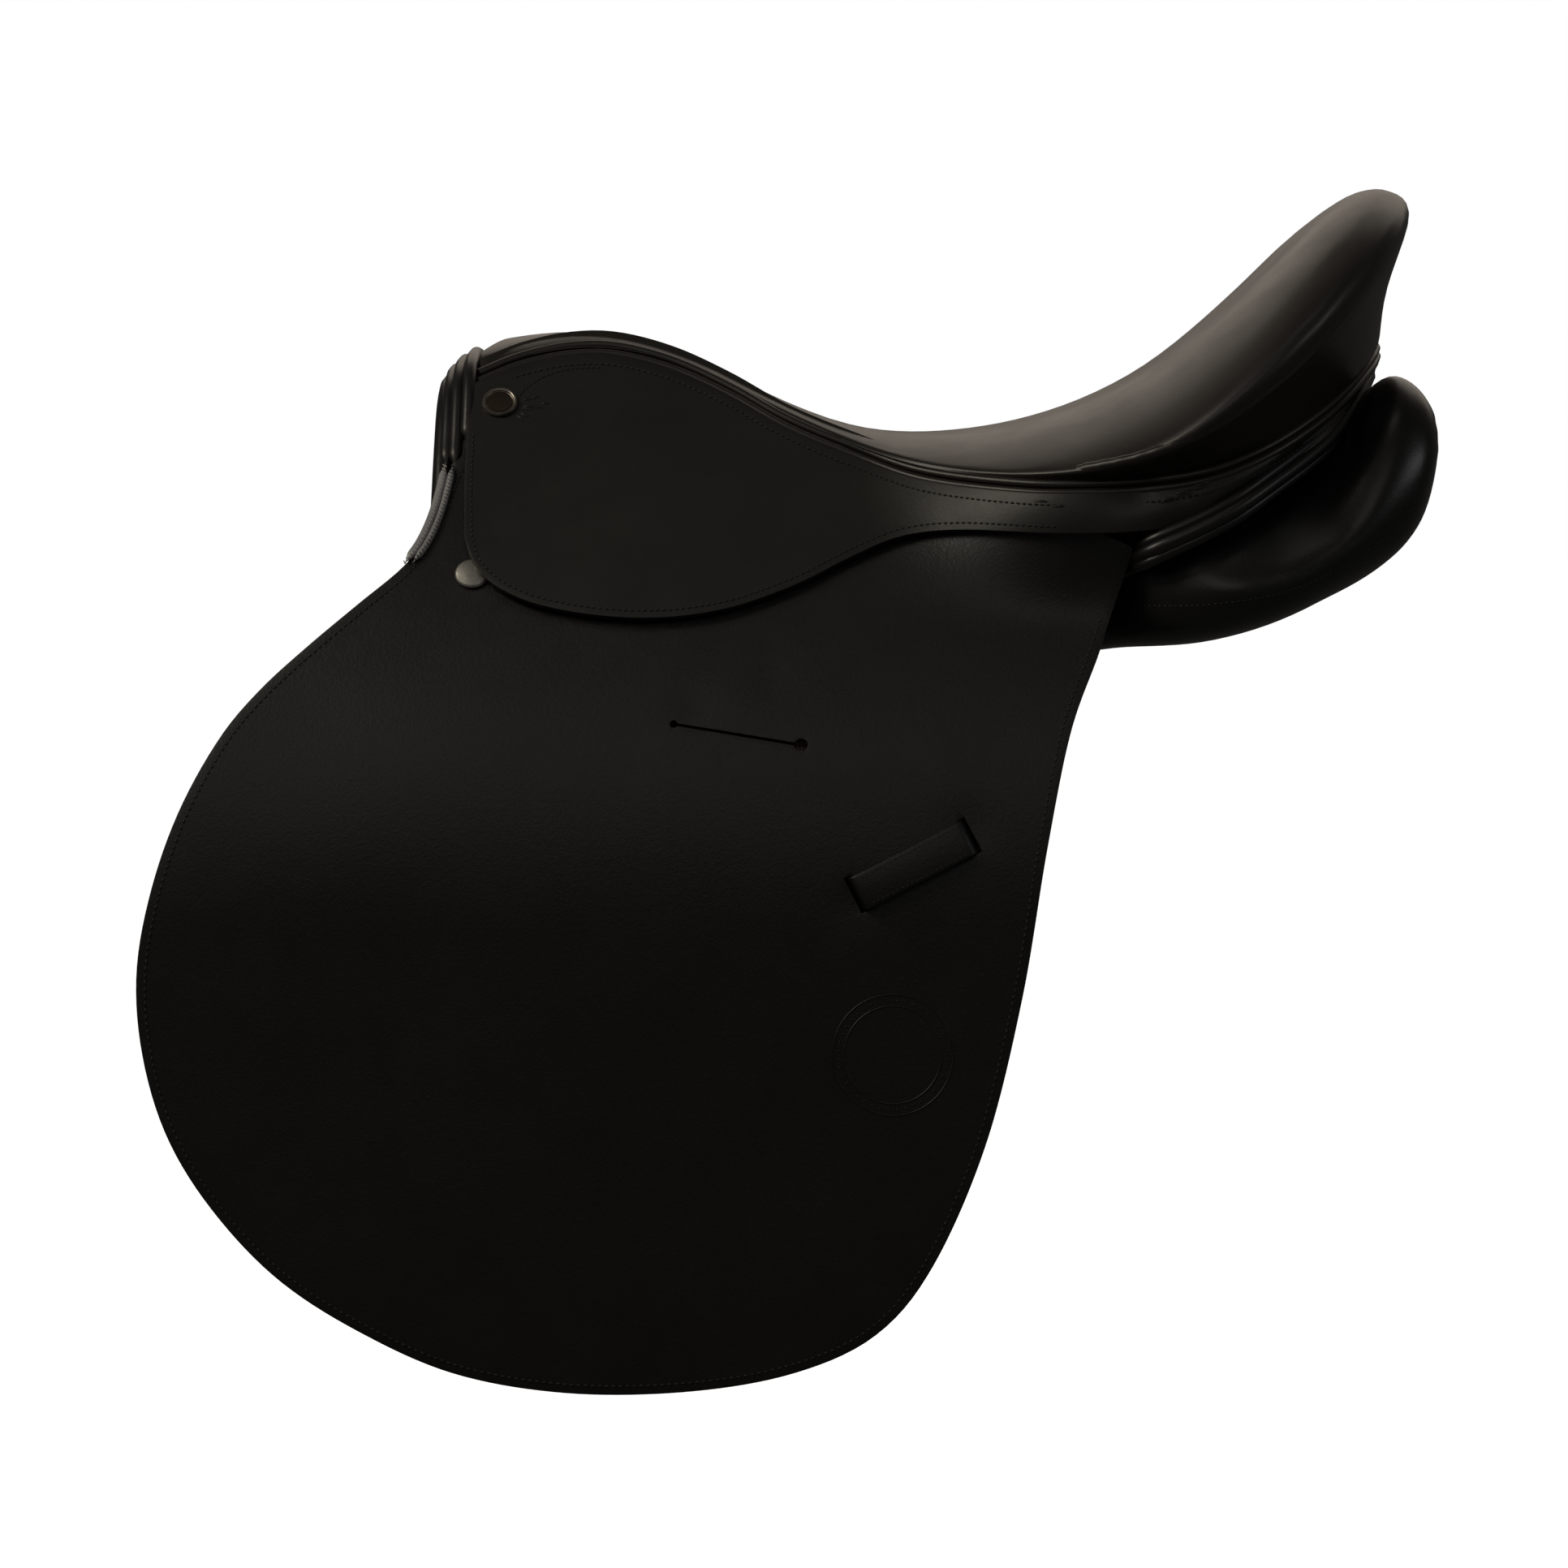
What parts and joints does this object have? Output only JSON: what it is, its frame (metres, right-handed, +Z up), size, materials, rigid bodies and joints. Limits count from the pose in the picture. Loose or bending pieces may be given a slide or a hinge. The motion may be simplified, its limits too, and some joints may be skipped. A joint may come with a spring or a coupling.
{
  "type": "english saddle",
  "caption": "General-purpose leather English saddle with a deep cantle, small skirts over forward-cut flaps, stirrup bars, girth straps and stuffed panels.",
  "frame": {"origin": "the point of the horse's back or rack under the waist of the seat, midway between the panels and level with their bearing line", "axes": "-X to the front (pommel), +X to the rear (cantle), -Y to the horse's left, +Z up"},
  "size_m": [0.569, 0.387, 0.5248],
  "materials": {
    "seat_leather": "waxed satin, near-black brown",
    "flap_leather": "fine-grained satin black-brown",
    "skirt_leather": "smooth satin, olive-brown black",
    "panel_leather": "glossy soft black",
    "strap_leather": "matt bridle leather, dark brown",
    "beech": "sealed laminate",
    "webbing": "woven",
    "foam": "soft foam",
    "spring_steel": "lacquered spring steel",
    "forged_steel": "ground",
    "nickel": "worn nickel plate"
  },
  "bodies": {
    "saddle": {"tree": "beech", "head_plate": "spring_steel", "gullet_plate": "spring_steel", "cantle_plate": "spring_steel", "left_spring": "spring_steel", "right_spring": "spring_steel", "left_seat_web": "webbing", "right_seat_web": "webbing", "cross_seat_web": "webbing", "seat_foam": "foam", "seat_cover": "seat_leather", "gullet_lining": "panel_leather", "pommel_facing": "panel_leather", "rear_facing": "panel_leather", "left_seat_welt": "seat_leather", "left_flap_top": "flap_leather", "left_skirt_top": "skirt_leather", "left_flap_stud": "nickel", "left_skirt_nail": "nickel", "left_stirrup_bar": "forged_steel", "left_catch_pin": "forged_steel", "left_front_bar_rivet": "forged_steel", "left_rear_bar_rivet": "forged_steel", "left_point_pocket": "strap_leather", "left_sweat_flap": "strap_leather", "left_knee_roll": "panel_leather", "left_panel": "panel_leather", "left_front_girth_web": "webbing", "left_rear_girth_web": "webbing", "right_seat_welt": "seat_leather", "right_flap_top": "flap_leather", "right_skirt_top": "skirt_leather", "right_flap_stud": "nickel", "right_skirt_nail": "nickel", "right_stirrup_bar": "forged_steel", "right_catch_pin": "forged_steel", "right_front_bar_rivet": "forged_steel", "right_rear_bar_rivet": "forged_steel", "right_point_pocket": "strap_leather", "right_sweat_flap": "strap_leather", "right_knee_roll": "panel_leather", "right_panel": "panel_leather", "right_front_girth_web": "webbing", "right_rear_girth_web": "webbing"},
    "left_flap": {"left_flap": "flap_leather", "left_keeper": "flap_leather"},
    "left_skirt": {"left_skirt": "skirt_leather"},
    "left_bar_catch": {"left_bar_catch": "forged_steel"},
    "left_front_billet": {"left_front_billet": "strap_leather"},
    "left_middle_billet": {"left_middle_billet": "strap_leather"},
    "left_rear_billet": {"left_rear_billet": "strap_leather"},
    "left_buckle_guard": {"left_buckle_guard": "strap_leather"},
    "right_flap": {"right_flap": "flap_leather", "right_keeper": "flap_leather"},
    "right_skirt": {"right_skirt": "skirt_leather"},
    "right_bar_catch": {"right_bar_catch": "forged_steel"},
    "right_front_billet": {"right_front_billet": "strap_leather"},
    "right_middle_billet": {"right_middle_billet": "strap_leather"},
    "right_rear_billet": {"right_rear_billet": "strap_leather"},
    "right_buckle_guard": {"right_buckle_guard": "strap_leather"}
  },
  "joints": [
    {"name": "left_flap_lift", "type": "hinge", "parent": "saddle", "child": "left_flap", "pos_m": [0, -0.1361, 0.026], "axis": [-1, 0, 0], "range_deg": [0, 100]},
    {"name": "left_skirt_lift", "type": "hinge", "parent": "saddle", "child": "left_skirt", "pos_m": [-0.1537, -0.07897, 0.111], "axis": [-0.9686, 0.154, 0.1951], "range_deg": [0, 95]},
    {"name": "left_bar_catch_turn", "type": "hinge", "parent": "saddle", "child": "left_bar_catch", "pos_m": [-0.0621, -0.10851, 0.065], "axis": [0, -0.788, 0.6157], "range_deg": [0, 75]},
    {"name": "left_front_billet_swing", "type": "hinge", "parent": "saddle", "child": "left_front_billet", "pos_m": [-0.045, -0.16526, -0.095], "axis": [0, -0.9962, 0.0872], "range_deg": [-4, 4]},
    {"name": "left_middle_billet_swing", "type": "hinge", "parent": "saddle", "child": "left_middle_billet", "pos_m": [-0.005, -0.16526, -0.095], "axis": [0, -0.9962, 0.0872], "range_deg": [-4, 4]},
    {"name": "left_rear_billet_swing", "type": "hinge", "parent": "saddle", "child": "left_rear_billet", "pos_m": [0.035, -0.16526, -0.095], "axis": [0, -0.9962, 0.0872], "range_deg": [-4, 4]},
    {"name": "left_buckle_guard_slide", "type": "slide", "parent": "saddle", "child": "left_buckle_guard", "axis": [0, -0.0872, -0.9962], "range_m": [0, 0.06]},
    {"name": "right_flap_lift", "type": "hinge", "parent": "saddle", "child": "right_flap", "pos_m": [0, 0.1361, 0.026], "axis": [1, 0, 0], "range_deg": [0, 100]},
    {"name": "right_skirt_lift", "type": "hinge", "parent": "saddle", "child": "right_skirt", "pos_m": [-0.1537, 0.07897, 0.111], "axis": [0.9686, 0.154, -0.1951], "range_deg": [0, 95]},
    {"name": "right_bar_catch_turn", "type": "hinge", "parent": "saddle", "child": "right_bar_catch", "pos_m": [-0.0621, 0.10851, 0.065], "axis": [0, -0.788, -0.6157], "range_deg": [0, 75]},
    {"name": "right_front_billet_swing", "type": "hinge", "parent": "saddle", "child": "right_front_billet", "pos_m": [-0.045, 0.16526, -0.095], "axis": [0, 0.9962, 0.0872], "range_deg": [-4, 4]},
    {"name": "right_middle_billet_swing", "type": "hinge", "parent": "saddle", "child": "right_middle_billet", "pos_m": [-0.005, 0.16526, -0.095], "axis": [0, 0.9962, 0.0872], "range_deg": [-4, 4]},
    {"name": "right_rear_billet_swing", "type": "hinge", "parent": "saddle", "child": "right_rear_billet", "pos_m": [0.035, 0.16526, -0.095], "axis": [0, 0.9962, 0.0872], "range_deg": [-4, 4]},
    {"name": "right_buckle_guard_slide", "type": "slide", "parent": "saddle", "child": "right_buckle_guard", "axis": [0, 0.0872, -0.9962], "range_m": [0, 0.06]}
  ]
}
